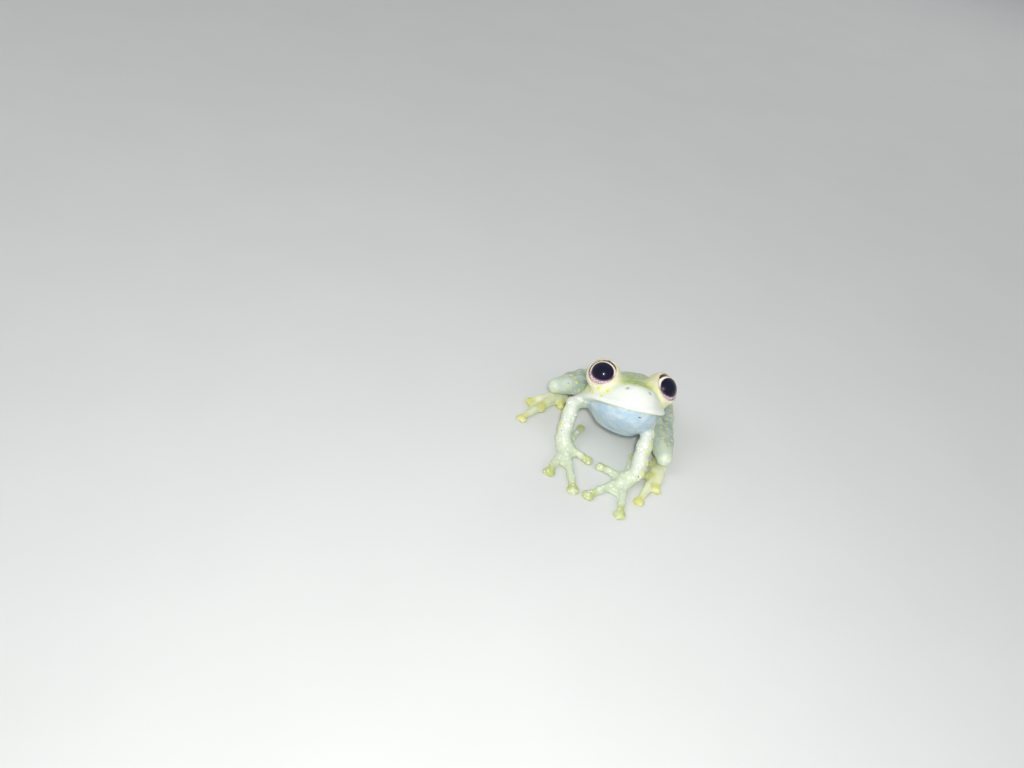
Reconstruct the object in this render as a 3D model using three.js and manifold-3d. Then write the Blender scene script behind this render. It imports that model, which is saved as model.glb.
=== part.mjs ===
// A life-size glass frog, sitting with its head raised and its fingers spread.
// Millimetres, +Z up. The frog looks along -Y, its left side is +X, and it rests on the plane Z = 0.
// The pose is laid out round a point midway between the pupils, and the whole frog is moved at the
// end so that the middle of the bottom of its bounding box is the origin.
import * as THREE from 'three';
import { mergeVertices } from 'three/addons/utils/BufferGeometryUtils.js';
import Module from 'manifold-3d';

const wasm = await Module();
wasm.setup();

// Driving dimensions
const GAP = 0.3;              // left between neighbouring pieces
const EYE_HEIGHT = 11;        // pupils above the floor
const HEAD_YAW = 26;          // degrees, towards the frog's left
const HEAD_PITCH = 35;        // degrees, snout up
const HEAD_ROLL = -5.5;       // degrees, left side up
const EYE_RADIUS = 1.65;
const EYE_SPREAD = 3.4;       // each eye's centre from the head's middle
const EYE_LEVEL = 2.85;       // eye centre above the mouth
const EYE_TURN = 24;          // degrees, each eye's axis out from straight ahead
const EYE_TILT = 18;          // degrees, each eye's axis up
const LID_THICKNESS = 0.32;
const LID_EDGE = 0.8;         // plane of the lids, ahead of the eye's centre
const LID_TILT = 15;          // degrees, how far that plane faces up from the eye's axis
const MOUTH_GAP = 0.3;
const LIP_RADIUS = 0.34;
const MOUTH_CORNER = -2.6;    // along the head's own forward axis
const MOUTH_DROOP = 0.1;      // how fast the line of the mouth sinks towards its corners
const DISC_HEIGHT = 0.3;      // half the thickness of a finger's disc
const WEB_BOTTOM = 0.1;
const WEB_THICKNESS = 0.5;
const WEB_HOLLOW = 0.8;       // where the free edge of a web dips to, from its root
const SECTION_POWER = 2.3;    // 2 is an ellipse, more is boxier
const LIMB_SIDES = 12;
const DIGIT_SIDES = 8;
const EYE_SIDES = 18;
const EYE_ROWS = 12;

// Head sections along its forward axis: forward, half width, top; below the mouth: half width, depth
const SKULL = [
  { at: -4.6, wide: 3.7, high: 2.6 },
  { at: -3.4, wide: 4.25, high: 3.05 },
  { at: -2.0, wide: 4.45, high: 3.35 },
  { at: -0.5, wide: 4.3, high: 3.45 },
  { at: 0.8, wide: 3.95, high: 3.3 },
  { at: 2.0, wide: 3.3, high: 2.95 },
  { at: 3.0, wide: 2.5, high: 2.6 },
  { at: 3.8, wide: 1.6, high: 2.15 },
  { at: 4.2, wide: 0.8, high: 1.6 },
];
const JAW = [
  { at: -4.6, wide: 3.0, high: 2.2 },
  { at: -3.4, wide: 3.55, high: 2.7 },
  { at: -2.0, wide: 3.8, high: 2.9 },
  { at: -0.5, wide: 3.75, high: 2.8 },
  { at: 0.8, wide: 3.45, high: 2.4 },
  { at: 2.0, wide: 2.85, high: 1.75 },
  { at: 3.0, wide: 2.05, high: 1.0 },
  { at: 3.7, wide: 1.1, high: 0.5 },
];

// Trunk sections from the breast to the vent
const TRUNK = [
  { x: -0.5, y: -0.3, low: 3.5, high: 5.4, wide: 2.6 },
  { x: -0.5, y: 0.6, low: 2.8, high: 6.2, wide: 3.2 },
  { x: -0.6, y: 1.8, low: 2.3, high: 7.1, wide: 3.45 },
  { x: -0.8, y: 3.4, low: 2.0, high: 7.5, wide: 3.6 },
  { x: -0.9, y: 5.6, low: 1.4, high: 6.6, wide: 3.8 },
  { x: -0.8, y: 8.2, low: 0.7, high: 5.1, wide: 3.7 },
  { x: -0.7, y: 10.4, low: 0.4, high: 4.0, wide: 3.2 },
  { x: -0.7, y: 12.0, low: 0.4, high: 3.1, wide: 2.5 },
  { x: -0.7, y: 13.1, low: 0.6, high: 2.3, wide: 1.6 },
];

// Where each side's limbs go, from the point under the eyes
const SIDES = {
  right: {
    shoulder: [-3.2, 3.1, 5.0],
    elbow: [-5.8, -1.0, 5.0],
    wrist: [-5.4, -2.9, 1.3],
    palm: [-4.64, -3.4],
    fingers: [[-4.4, 1.1], [-1.7, -3.55], [-1.5, -8.85], [-4.8, -7.9]],
    hip: [-2.0, 10.0, 2.0],
    knee: [-9.15, 2.9, 3.2],
    shin: [-7.4, 7.6, 2.2],
    heel: [-5.4, 11.9, 1.3],
    sole: [-8.7, 5.3],
    toes: [[-7.1, 4.3], [-7.9, 3.2], [-9.8, 1.3], [-11.0, -1.7], [-11.5, 1.7]],
  },
  left: {
    shoulder: [1.7, 3.2, 5.0],
    elbow: [3.3, -1.0, 5.3],
    wrist: [3.9, -3.3, 1.3],
    palm: [3.0, -4.3],
    fingers: [[2.55, 0.1], [-0.15, -3.65], [0.22, -8.65], [4.2, -9.3]],
    hip: [0.0, 9.7, 2.1],
    knee: [5.95, -0.2, 2.4],
    shin: [4.6, 5.0, 1.8],
    heel: [3.5, 10.5, 1.2],
    sole: [6.0, 2.8],
    toes: [[5.0, 1.4], [4.9, 0.1], [5.1, -1.9], [5.4, -6.2], [6.6, -3.35]],
  },
};
const FINGER_DISCS = [0.5, 0.62, 0.72, 0.7];
const TOE_DISCS = [0.42, 0.48, 0.55, 0.62, 0.58];

const radians = THREE.MathUtils.degToRad;

// The head's own axes: forward, to its left and up
const cosPitch = Math.cos(radians(HEAD_PITCH));
const forward = new THREE.Vector3(
  Math.sin(radians(HEAD_YAW)) * cosPitch,
  -Math.cos(radians(HEAD_YAW)) * cosPitch,
  Math.sin(radians(HEAD_PITCH)),
);
const leftward = new THREE.Vector3(Math.cos(radians(HEAD_YAW)), Math.sin(radians(HEAD_YAW)), 0);
leftward.applyAxisAngle(forward, radians(HEAD_ROLL));
const upward = new THREE.Vector3().crossVectors(forward, leftward);

function eyeAxis(side, extraTilt = 0) {
  const turn = radians(EYE_TURN) * side;
  const tilt = radians(EYE_TILT + extraTilt);
  return new THREE.Vector3(Math.cos(turn) * Math.cos(tilt), Math.sin(turn) * Math.cos(tilt), Math.sin(tilt));
}

const pupil = eyeAxis(1).multiplyScalar(EYE_RADIUS).add(new THREE.Vector3(0, 0, EYE_LEVEL));
const headOrigin = new THREE.Vector3(0, 0, EYE_HEIGHT);
headOrigin.addScaledVector(forward, -pupil.x);
headOrigin.addScaledVector(upward, -pupil.z);
const headToWorld = new THREE.Matrix4().makeBasis(forward, leftward, upward).setPosition(headOrigin);

// Turns a three.js geometry into a solid that can be joined and cut
function solid(geometry) {
  const bare = geometry.clone();
  bare.deleteAttribute('normal');
  bare.deleteAttribute('uv');
  const merged = mergeVertices(bare, 1e-5);
  const mesh = new wasm.Mesh({
    numProp: 3,
    vertProperties: new Float32Array(merged.attributes.position.array),
    triVerts: new Uint32Array(merged.index.array),
  });
  return new wasm.Manifold(mesh);
}

// A closed skin over a row of rings, each with the same number of points, and a point at each end
function skinOver(rings, first, last) {
  const sides = rings[0].length;
  const points = [first, ...rings.flat(), last];
  const index = [];
  for (let k = 0; k < sides; k += 1) {
    const next = (k + 1) % sides;
    index.push(0, 1 + next, 1 + k);
    for (let row = 0; row + 1 < rings.length; row += 1) {
      const here = 1 + row * sides;
      const there = here + sides;
      index.push(here + k, here + next, there + next);
      index.push(here + k, there + next, there + k);
    }
    const end = 1 + (rings.length - 1) * sides;
    index.push(points.length - 1, end + k, end + next);
  }
  const geometry = new THREE.BufferGeometry();
  geometry.setAttribute('position', new THREE.Float32BufferAttribute(points.flatMap((p) => [p.x, p.y, p.z]), 3));
  geometry.setIndex(index);
  return geometry;
}

// A round limb along a curve through the points, with a radius at each of them and rounded ends
function limb(points, radii, { grow = 0, sides = LIMB_SIDES, steps = 3, flat = 1 } = {}) {
  const curve = new THREE.CatmullRomCurve3(points.map((p) => new THREE.Vector3(...p)), false, 'centripetal');
  const count = (points.length - 1) * steps;
  const rows = [];
  for (let k = 0; k <= count; k += 1) {
    const t = k / count;
    const place = t * (radii.length - 1);
    const low = Math.min(Math.floor(place), radii.length - 2);
    const radius = THREE.MathUtils.lerp(radii[low], radii[low + 1], place - low) + grow;
    rows.push({ middle: curve.getPoint(t), along: curve.getTangent(t), radius });
  }
  const start = rows[0];
  const end = rows[count];
  const caps = [0.5, 0.87];
  const capRow = (row, direction, lift) => ({
    middle: row.middle.clone().addScaledVector(row.along, direction * lift * row.radius),
    along: row.along,
    radius: row.radius * Math.sqrt(1 - lift * lift),
  });
  const all = [
    ...caps.slice().reverse().map((lift) => capRow(start, -1, lift)),
    ...rows,
    ...caps.map((lift) => capRow(end, 1, lift)),
  ];
  const up = new THREE.Vector3(0, 0, 1);
  const reference = Math.abs(start.along.dot(up)) > 0.9 ? new THREE.Vector3(0, 1, 0) : up;
  const rings = all.map(({ middle, along, radius }) => {
    const across = new THREE.Vector3().crossVectors(reference, along).normalize();
    const over = new THREE.Vector3().crossVectors(along, across);
    const ring = [];
    for (let k = 0; k < sides; k += 1) {
      const angle = ((k + 0.5) / sides) * 2 * Math.PI;
      const point = middle.clone();
      point.addScaledVector(across, radius * Math.cos(angle));
      point.addScaledVector(over, radius * flat * Math.sin(angle));
      ring.push(point);
    }
    return ring;
  });
  const tip = (row, direction) => row.middle.clone().addScaledVector(row.along, direction * row.radius);
  return solid(skinOver(rings, tip(start, -1), tip(end, 1)));
}

function ellipsoid(middle, radii, { grow = 0, turn = 0, around = 14, rows = 8 } = {}) {
  const geometry = new THREE.SphereGeometry(1, around, rows);
  geometry.rotateX(Math.PI / 2);
  geometry.scale(radii[0] + grow, radii[1] + grow, radii[2] + grow);
  geometry.rotateZ(turn);
  geometry.translate(...middle);
  return solid(geometry);
}

function join(pieces) {
  return pieces.reduce((sum, piece) => sum.add(piece));
}

function boxBetween(low, high) {
  const size = high.map((value, axis) => value - low[axis]);
  const geometry = new THREE.BoxGeometry(...size);
  geometry.translate(...low.map((value, axis) => value + size[axis] / 2));
  return solid(geometry);
}

// Keeps the largest closed surface of a solid
function largest(whole) {
  return whole.decompose().reduce((best, piece) => (piece.volume() > best.volume() ? piece : best));
}

// One coordinate of a rounded box section, from the cosine or sine of the angle round it
function roundedBox(share, half, power) {
  return half * Math.sign(share) * Math.abs(share) ** (2 / power);
}

// Head sections are halves of a rounded box: full width at the mouth, narrowing to the top
function headLoft(sections, { grow, power, direction }) {
  const sides = 24;
  const rings = sections.map(({ at, wide, high }) => {
    const ring = [];
    for (let k = 0; k < sides; k += 1) {
      const angle = ((k + 0.5) / sides) * 2 * Math.PI;
      const b = roundedBox(Math.cos(angle), wide + grow, power);
      const c = roundedBox(Math.sin(angle), high + grow, power);
      ring.push(new THREE.Vector3(at, b, c * direction).applyMatrix4(headToWorld));
    }
    return direction < 0 ? ring.reverse() : ring;
  });
  const first = sections[0];
  const last = sections[sections.length - 1];
  const back = new THREE.Vector3(first.at - 0.3 - grow, 0, 0.3 * first.high * direction).applyMatrix4(headToWorld);
  const front = new THREE.Vector3(last.at + 0.15 + grow, 0, 0.3 * last.high * direction).applyMatrix4(headToWorld);
  return solid(skinOver(rings, back, front));
}

// The line of the mouth sinks a little towards its corners
function mouthLevel(at) {
  return -MOUTH_DROOP * Math.max(0, 1 - at) ** 1.3;
}

// Everything on one side of the mouth, moved by an offset along the head's up axis
function beyondMouth(offset, direction) {
  const reach = 9;
  const outline = new THREE.Shape();
  outline.moveTo(reach, direction * reach);
  outline.lineTo(reach, mouthLevel(reach) + offset);
  for (let at = 1; at > -reach; at -= 0.8) {
    outline.lineTo(at, mouthLevel(at) + offset);
  }
  outline.lineTo(-reach, mouthLevel(-reach) + offset);
  outline.lineTo(-reach, direction * reach);
  const geometry = new THREE.ExtrudeGeometry(outline, { depth: 2 * reach, bevelEnabled: false });
  geometry.translate(0, 0, -reach);
  geometry.rotateX(Math.PI / 2);
  geometry.applyMatrix4(headToWorld);
  return solid(geometry);
}

function headPoint(at, b, c) {
  return new THREE.Vector3(at, b, c).applyMatrix4(headToWorld).toArray();
}

function eyeCentre(side) {
  return headPoint(0, EYE_SPREAD * side, EYE_LEVEL);
}

function eyeball(side, grow = 0) {
  const radius = EYE_RADIUS + grow;
  return ellipsoid(eyeCentre(side), [radius, radius, radius], { around: EYE_SIDES, rows: EYE_ROWS });
}

// Upper and lower lids in one rim: a shell over the eyeball, cut off ahead of the eye's centre
function lids(side, grow = 0) {
  const radius = EYE_RADIUS + LID_THICKNESS + grow;
  const shell = ellipsoid(eyeCentre(side), [radius, radius, radius], { around: EYE_SIDES, rows: EYE_ROWS });
  const cutter = new THREE.BoxGeometry(8, 8, 8);
  cutter.translate(LID_EDGE + grow + 4, 0, 0);
  const axis = eyeAxis(side, LID_TILT);
  const across = new THREE.Vector3(0, 0, 1).cross(axis).normalize();
  const over = new THREE.Vector3().crossVectors(axis, across);
  cutter.applyMatrix4(new THREE.Matrix4().makeBasis(axis, across, over));
  cutter.translate(0, EYE_SPREAD * side, EYE_LEVEL);
  cutter.applyMatrix4(headToWorld);
  return shell.subtract(solid(cutter));
}

// The upper lip is a soft roll that follows the head's outline just above the mouth
function upperLip(grow) {
  const rim = SKULL.filter(({ at }) => at >= MOUTH_CORNER);
  const onSide = (side) => rim.map(({ at, wide }) => {
    return headPoint(at, side * (wide - 0.2), mouthLevel(at) + 0.42);
  });
  const route = [...onSide(-1), ...onSide(1).reverse()];
  return limb(route, route.map(() => LIP_RADIUS), { grow, sides: 8, steps: 2 });
}

function nostril(side) {
  return ellipsoid(headPoint(3.2, 1.35 * side, 2.2), [0.26, 0.26, 0.26], { around: 8, rows: 6 });
}

function headWhole(grow = 0) {
  return join([headLoft(SKULL, { grow, power: 1.9, direction: 1 }), lids(-1, grow), lids(1, grow), upperLip(grow)]);
}

function jawWhole(grow = 0) {
  return headLoft(JAW, { grow, power: 2, direction: -1 });
}

function trunk(grow = 0) {
  const sides = 24;
  const rings = TRUNK.map(({ x, y, low, high, wide }) => {
    const ring = [];
    const middle = (low + high) / 2;
    for (let k = 0; k < sides; k += 1) {
      const angle = ((k + 0.5) / sides) * 2 * Math.PI;
      const across = roundedBox(Math.cos(angle), wide + grow, SECTION_POWER);
      const down = roundedBox(Math.sin(angle), (high - low) / 2 + grow, SECTION_POWER);
      ring.push(new THREE.Vector3(x + across, y, middle - down));
    }
    return ring;
  });
  const first = TRUNK[0];
  const last = TRUNK[TRUNK.length - 1];
  const front = new THREE.Vector3(first.x, first.y - 0.5 - grow, (first.low + first.high) / 2);
  const back = new THREE.Vector3(last.x, last.y + 0.6 + grow, (last.low + last.high) / 2);
  return solid(skinOver(rings, front, back));
}

function upperArm(side, grow = 0) {
  const { shoulder, elbow } = SIDES[side];
  return limb([shoulder, elbow], [1.25, 0.95, 0.72], { grow, steps: 4 });
}

function forearm(side, grow = 0) {
  const { elbow, wrist } = SIDES[side];
  return limb([elbow, wrist], [0.66, 0.82, 0.84, 0.78], { grow, steps: 4 });
}

function between(a, b, share) {
  return a.map((value, axis) => THREE.MathUtils.lerp(value, b[axis], share));
}

// A finger or toe: thick at its root, thin before the tip, and a flat round disc that grips
function digit(root, tip, disc, width, grow = 0) {
  const angle = Math.atan2(tip[1] - root[1], tip[0] - root[0]);
  const shaft = limb(
    [[...root, 0.55], [...between(root, tip, 0.5), 0.5], [...tip, DISC_HEIGHT]],
    [width * 1.15, width, width * 0.85],
    { grow, sides: DIGIT_SIDES, steps: 2, flat: 0.9 },
  );
  const pad = ellipsoid([...tip, DISC_HEIGHT], [disc * 0.85, disc, DISC_HEIGHT + 0.06], {
    grow,
    turn: angle,
    around: 12,
    rows: 6,
  });
  return [shaft, pad];
}

// A web is a thin plate from the root out along two digits, with a hollow free edge
function web(root, tipA, tipB, share, grow = 0) {
  const a = between(root, tipA, share);
  const b = between(root, tipB, share);
  const hollow = between(root, between(a, b, 0.5), WEB_HOLLOW);
  const outline = new THREE.Shape();
  outline.moveTo(...root);
  outline.lineTo(...a);
  outline.quadraticCurveTo(...hollow, ...b);
  const geometry = new THREE.ExtrudeGeometry(outline, {
    depth: WEB_THICKNESS + 2 * grow,
    bevelEnabled: false,
    curveSegments: 4,
  });
  geometry.translate(0, 0, WEB_BOTTOM - grow);
  return solid(geometry);
}

function hand(side, grow = 0) {
  const { wrist, palm, fingers } = SIDES[side];
  const heel = limb([wrist, [...palm, 0.6]], [0.85, 0.85], { grow, steps: 2 });
  const pad = ellipsoid([...palm, 0.55], [1.05, 1.05, 0.62], { grow });
  const digits = fingers.flatMap((tip, k) => {
    return digit(between(palm, tip, 0.12), tip, FINGER_DISCS[k], k === 0 ? 0.38 : 0.44, grow);
  });
  const webs = [web(palm, fingers[2], fingers[3], 0.6, grow), web(palm, fingers[1], fingers[2], 0.4, grow)];
  return join([heel, pad, ...digits, ...webs]);
}

function thigh(side, grow = 0) {
  const { hip, knee } = SIDES[side];
  return limb([hip, knee], [1.5, 1.42, 1.2, 0.9], { grow, steps: 4 });
}

function shank(side, grow = 0) {
  const { knee, shin, heel } = SIDES[side];
  return limb([knee, shin, heel], [0.88, 1.05, 0.95, 0.75], { grow, steps: 2 });
}

function foot(side, grow = 0) {
  const { heel, sole, toes } = SIDES[side];
  const ankle = [heel[0], heel[1], 0.75];
  const tarsus = limb([ankle, [...sole, 0.62]], [0.78, 0.62, 0.66], { grow, steps: 4 });
  const digits = toes.flatMap((tip, k) => digit(between(sole, tip, 0.08), tip, TOE_DISCS[k], 0.4, grow));
  const webs = [0.5, 0.7, 0.9, 0.95].map((share, k) => web(sole, toes[k], toes[k + 1], share, grow));
  return join([tarsus, ...digits, ...webs]);
}

const colours = {
  skin: 0xdbe6c0,
  throat: 0xd5e4ea,
  digits: 0xe3ecb0,
  eye: 0x14132b,
};

const group = new THREE.Group();
const ground = boxBetween([-40, -40, -10], [40, 40, 0]);

function addNode(name, shape, colour, roughness = 0.45) {
  const mesh = largest(shape.subtract(ground)).getMesh();
  const geometry = new THREE.BufferGeometry();
  geometry.setAttribute('position', new THREE.BufferAttribute(mesh.vertProperties, 3));
  geometry.setIndex(new THREE.BufferAttribute(mesh.triVerts, 1));
  geometry.computeVertexNormals();
  const material = new THREE.MeshStandardMaterial({ color: colour, roughness, metalness: 0 });
  const node = new THREE.Mesh(geometry, material);
  node.name = name;
  group.add(node);
}

// Head: skull, lids and upper lip, cut free of the eyes and of the lower jaw
function addHead() {
  const sockets = join([eyeball(-1, GAP), eyeball(1, GAP), nostril(-1), nostril(1)]);
  const upper = headWhole().subtract(beyondMouth(MOUTH_GAP / 2, -1)).subtract(sockets);
  const lower = jawWhole().subtract(beyondMouth(-MOUTH_GAP / 2, 1)).subtract(sockets);
  addNode('head', upper, colours.skin);
  addNode('lower_jaw', lower, colours.throat);
  addNode('eye_right', eyeball(-1), colours.eye, 0.1);
  addNode('eye_left', eyeball(1), colours.eye, 0.1);
}

function addTorso() {
  addNode('torso', trunk().subtract(join([headWhole(GAP), jawWhole(GAP)])), colours.skin);
}

function addArm(side) {
  const body = join([trunk(GAP), headWhole(GAP), jawWhole(GAP)]);
  addNode(`upper_arm_${side}`, upperArm(side).subtract(body), colours.skin);
  addNode(`forearm_${side}`, forearm(side).subtract(join([upperArm(side, GAP), body])), colours.skin);
  addNode(`hand_${side}`, hand(side).subtract(forearm(side, GAP)), colours.digits);
}

function addLeg(side) {
  const body = trunk(GAP);
  addNode(`thigh_${side}`, thigh(side).subtract(body), colours.skin);
  addNode(`shank_${side}`, shank(side).subtract(join([thigh(side, GAP), body])), colours.skin);
  addNode(`foot_${side}`, foot(side).subtract(join([shank(side, GAP), thigh(side, GAP), body])), colours.digits);
}

addHead();
addTorso();
for (const side of Object.keys(SIDES)) {
  addArm(side);
  addLeg(side);
}

const bounds = new THREE.Box3().setFromObject(group, true);
const centre = bounds.getCenter(new THREE.Vector3());
group.position.set(-centre.x, -centre.y, -bounds.min.z);

export default group;
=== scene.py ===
# Looks of a life-size glass frog on a plain pale floor.
# Shapes are laid out in millimetres in the frog's pose frame: its trunk runs back along +Y, its left side
# is +X, the floor is Z = 0 and (0, 0) is under the point midway between the pupils. Places on the head are
# given along the head's own axes: forward, left and up from a point in the plane of the mouth, between the
# eyes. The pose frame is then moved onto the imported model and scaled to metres.
import functools
import math

import bpy
import numpy as np
from mathutils import Matrix, Vector


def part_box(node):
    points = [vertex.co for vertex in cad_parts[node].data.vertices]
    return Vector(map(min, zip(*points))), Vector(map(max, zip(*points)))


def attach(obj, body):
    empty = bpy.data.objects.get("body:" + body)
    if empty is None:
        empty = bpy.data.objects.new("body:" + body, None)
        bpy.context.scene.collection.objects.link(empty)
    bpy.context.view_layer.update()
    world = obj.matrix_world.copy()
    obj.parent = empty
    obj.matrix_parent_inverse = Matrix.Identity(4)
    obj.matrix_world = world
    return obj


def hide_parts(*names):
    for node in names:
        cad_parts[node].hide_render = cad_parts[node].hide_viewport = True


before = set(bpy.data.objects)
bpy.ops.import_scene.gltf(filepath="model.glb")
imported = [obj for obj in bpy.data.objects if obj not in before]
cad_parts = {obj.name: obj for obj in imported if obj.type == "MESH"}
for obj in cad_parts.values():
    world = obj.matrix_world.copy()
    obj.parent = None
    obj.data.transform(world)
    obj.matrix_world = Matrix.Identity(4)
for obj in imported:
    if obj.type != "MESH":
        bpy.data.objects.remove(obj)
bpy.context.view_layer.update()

MM = 0.001

# Head, as in the model's own solids. Angles are in degrees.
EYE_HEIGHT = 11.0
HEAD_YAW = 26.0
HEAD_PITCH = 35.0
HEAD_ROLL = -5.5
EYE_RADIUS = 1.65
EYE_SPREAD = 3.4
EYE_LEVEL = 2.85
EYE_TURN = 24.0
EYE_TILT = 18.0

# Skull and jaw of the skin: eggs that are widest here and reach this far ahead of and behind that place
HEAD_WIDEST = -2.0
HEAD_AHEAD = 6.35
HEAD_BEHIND = 3.7
SKULL = {"wide": 4.45, "high": 3.45, "blunt": 0.65}
JAW = {"wide": 3.85, "high": 2.9, "lean": 0.05}

# Mouth: it is level ahead of MOUTH_STRAIGHT and droops behind it
MOUTH_CORNER = -2.6
MOUTH_STRAIGHT = 1.0
MOUTH_DROOP = 0.1
MOUTH_BEND = 1.3
MOUTH_SOFT_END = 0.12
MOUTH_GROOVE = {"level": -0.02, "width": 0.09, "depth": 0.16}
LIP = {"level": 0.4, "width": 0.3, "height": 0.19}
SKULL_BOTTOM = 0.03
JAW_TOP = 0.5

# Snout: a slight hollow between nostril and lip, and the nostrils
HOLLOW_PLACE = (2.0, 2.4, 1.1)
HOLLOW_SIZE = (1.5, 1.2, 0.6)
HOLLOW_DEPTH = 0.16
NOSTRIL_PLACE = (3.15, 1.35, 2.3)
NOSTRIL_RIM = {"height": 0.05, "width": 0.5}
NOSTRIL_PIT = {"depth": 0.3, "width": 0.22}

# Lids: a shell round the eyeball, cut by a plane that faces further out and up than the eye does
LID_TURN = 10.0
LID_TILT = 11.0
LID_THICKNESS = 0.26
LID_OPENING = 0.84
SOCKET_GAP = 0.02
LID_FOLDS = ((0.62, 0.045), (0.98, 0.03))  # distance out from the eyeball, depth
LID_FOLD_WIDTH = 0.11
LID_FOLD_BELOW = (0.2, 0.9)

EARDRUM_PLACE = (-2.7, 4.0, 1.2)
EARDRUM_RADIUS = 0.5
EARDRUM_GROOVE = {"width": 0.1, "depth": 0.05}

# Pupil, and the rings of the iris in pupil radii. Each pair is where a colour starts and where it is full.
PUPIL_WIDE = 1.17
PUPIL_HIGH = 1.0
PUPIL_RISE = 0.06
PUPIL_EDGE = (1.03, 0.98)
INNER_SHADE = (1.2, 1.06)
LINE_INNER = (1.03, 1.07)
LINE_OUTER = (1.26, 1.2)
BAND_INNER = (1.2, 1.27)
UPPER_HALF = (-0.25, 0.15)
IRIS_RIM = (0.9, 0.98)
CORNEA_BULGE = 0.05
CORNEA_WIDTH = 0.62
EYE_INSET = 0.01
EYE_RINGS = 40
EYE_SIDES = 64

# Trunk sections from the breast to the vent: x, y, low, high, half width
TRUNK = [
    (-0.5, -0.3, 3.5, 5.4, 2.6),
    (-0.5, 0.6, 2.8, 6.2, 3.2),
    (-0.6, 1.8, 2.3, 7.1, 3.45),
    (-0.8, 3.4, 2.0, 7.5, 3.6),
    (-0.9, 5.6, 1.4, 6.6, 3.8),
    (-0.8, 8.2, 0.7, 5.1, 3.7),
    (-0.7, 10.4, 0.4, 4.0, 3.2),
    (-0.7, 12.0, 0.4, 3.1, 2.5),
    (-0.7, 13.1, 0.6, 2.3, 1.6),
]
SECTION_POWER = 2.3
BREAST_CAP = 1.2
VENT_CAP = 0.8

# Joints and tips of the limbs. Palm, sole, fingers and toes are places on the floor.
SIDES = {
    "right": {
        "sign": -1,
        "shoulder": (-3.2, 3.1, 5.0),
        "elbow": (-5.8, -1.0, 5.0),
        "wrist": (-5.4, -2.9, 1.3),
        "palm": (-4.64, -3.4),
        "fingers": [(-4.4, 1.1), (-1.7, -3.55), (-1.5, -8.85), (-4.8, -7.9)],
        "hip": (-2.0, 10.0, 2.0),
        "knee": (-9.15, 2.9, 3.2),
        "shin": (-7.4, 7.6, 2.2),
        "heel": (-5.4, 11.9, 1.3),
        "sole": (-8.7, 5.3),
        "toes": [(-7.1, 4.3), (-7.9, 3.2), (-9.8, 1.3), (-11.0, -1.7), (-11.5, 1.7)],
    },
    "left": {
        "sign": 1,
        "shoulder": (1.7, 3.2, 5.0),
        "elbow": (3.3, -1.0, 5.3),
        "wrist": (3.9, -3.3, 1.3),
        "palm": (3.0, -4.3),
        "fingers": [(2.55, 0.1), (-0.15, -3.65), (0.22, -8.65), (4.2, -9.3)],
        "hip": (0.0, 9.7, 2.1),
        "knee": (5.95, -0.2, 2.4),
        "shin": (4.6, 5.0, 1.8),
        "heel": (3.5, 10.5, 1.2),
        "sole": (6.0, 2.8),
        "toes": [(5.0, 1.4), (4.9, 0.1), (5.1, -1.9), (5.4, -6.2), (6.6, -3.35)],
    },
}

# Limbs: radii from the body outwards, softness of the limb's own joints, softness where it meets the skin
UPPER_ARM_LIMB = ((1.28, 0.96, 0.72), 0.4, 0.4)
FOREARM_LIMB = ((0.68, 0.84, 0.85, 0.78), 0.4, 0.35)
WRIST_LIMB = ((0.84, 0.86, 0.86), 0.3, 0.35)
THIGH_LIMB = ((1.5, 1.44, 1.2, 0.9), 0.5, 0.6)
SHANK_LIMB = ((0.88, 1.05, 1.0, 0.9, 0.75), 0.4, 0.12)
SOLE_LIMB = ((0.8, 0.66, 0.66), 0.3, 0.2)
WRIST_HEIGHTS = (0.9, 0.66)
SOLE_HEIGHTS = (0.8, 0.74, 0.62)
PALM_HEIGHT = 0.6
PALM_RADII = (1.12, 1.12, 0.62)

# Fingers and toes, from the inner one outwards. A shaft's rows are the share of the way from root to tip,
# the height above the floor, and the radius as a share of the digit's width. The root is a little way out
# from the palm or sole. A disc's own lengths are shares of its size, its heights are millimetres.
SHAFT = ((0.0, 0.56, 1.2), (0.34, 0.56, 0.98), (0.66, 0.5, 1.0), (1.0, 0.36, 0.8))
SHAFT_FLATNESS = 0.92
FINGER_ROOT = 0.12
FINGER_WIDTHS = (0.36, 0.44, 0.44, 0.44)
FINGER_DISCS = (0.5, 0.62, 0.72, 0.7)
TOE_ROOT = 0.08
TOE_WIDTH = 0.38
TOE_DISCS = (0.42, 0.48, 0.55, 0.62, 0.58)
DISC_LONG = 0.92
DISC_WIDE = 1.02
DISC_FRONT = 0.74
DISC_HEIGHT = 0.3
DISC_RISE = 0.36
DISC_AHEAD = 0.02

# Webs: the two digits that each joins, and how far along them it reaches
FINGER_WEBS = ((2, 3, 0.55), (1, 2, 0.38))
FINGER_WEB_RADIUS = 0.17
TOE_WEBS = ((0, 1, 0.5), (1, 2, 0.7), (2, 3, 0.9), (3, 4, 0.95))
TOE_WEB_RADIUS = 0.14
WEB_RAYS = 9
WEB_HOLLOW = 0.8
WEB_FLATNESS = 0.7
WEB_ROOT_HEIGHT = 0.42
WEB_ROOT_RADIUS = 0.3
WEB_EDGE_HEIGHT = 0.34

# Softness of the remaining edges and joins
SKULL_EDGE = 0.16
JAW_EDGE = 0.2
LID_EDGE_ROUND = 0.22
SOCKET_EDGE = 0.05
FLOOR_EDGE = 0.06
SHAFT_JOINT = 0.2
DISC_EDGE = 0.2
SKULL_JOIN = 0.3
JAW_JOIN = 0.07
LID_JOIN = 0.75
TRUNK_JOIN = 0.7
PALM_JOIN = 0.4
FINGER_JOIN = 0.42
TOE_JOIN = 0.45
DISC_JOIN = 0.22
WEB_JOIN = 0.32

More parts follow.
